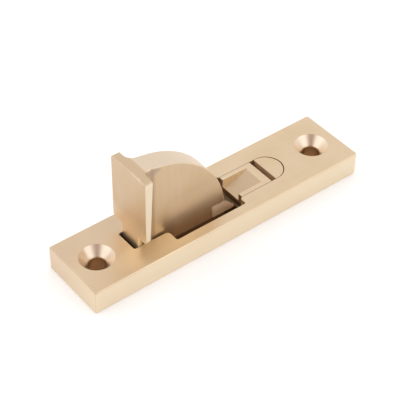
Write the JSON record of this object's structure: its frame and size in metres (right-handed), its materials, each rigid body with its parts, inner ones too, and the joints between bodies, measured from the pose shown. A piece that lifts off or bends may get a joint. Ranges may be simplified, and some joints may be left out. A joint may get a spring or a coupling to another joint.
{
  "type": "sash stopper",
  "caption": "Brass sash stopper: a countersunk face plate with a quadrant stop that folds flush into it and a sprung thumb catch beside it.",
  "frame": {"origin": "centre of the face plate's back, which lies at the bottom of the row's box", "axes": "+X along the plate from the pivot end to the catch end, +Z out of the plate's face, +Y from the front edge to the rear edge"},
  "size_m": [0.076, 0.018, 0.027],
  "materials": {
    "plate_brass": "satin, fine brushed",
    "stop_brass": "satin, fine brushed",
    "catch_brass": "satin",
    "keeper_brass": "as rolled",
    "screw_brass": "turned",
    "pin_steel": "ground",
    "spring_steel": "drawn wire"
  },
  "bodies": {
    "base": {"base_plate": "plate_brass", "pivot_pin": "pin_steel", "slot_filler": "catch_brass", "catch_spring": "spring_steel", "keeper_plate": "keeper_brass", "keeper_screw_1": "screw_brass", "keeper_screw_2": "screw_brass", "keeper_screw_3": "screw_brass", "keeper_screw_4": "screw_brass"},
    "quadrant": {"quadrant_stop": "stop_brass"},
    "catch": {"thumb_catch": "catch_brass"}
  },
  "joints": [
    {"name": "quadrant_swing", "type": "hinge", "parent": "base", "child": "quadrant", "pos_m": [-0.0193, 0, 0.0033], "axis": [0, 1, 0], "range_deg": [0, 90]},
    {"name": "catch_travel", "type": "slide", "parent": "base", "child": "catch", "axis": [1, 0, 0], "range_m": [0, 0.0014], "stiffness_N_per_m": 300, "springref_m": -0.003, "deforming": ["catch_spring"]}
  ]
}
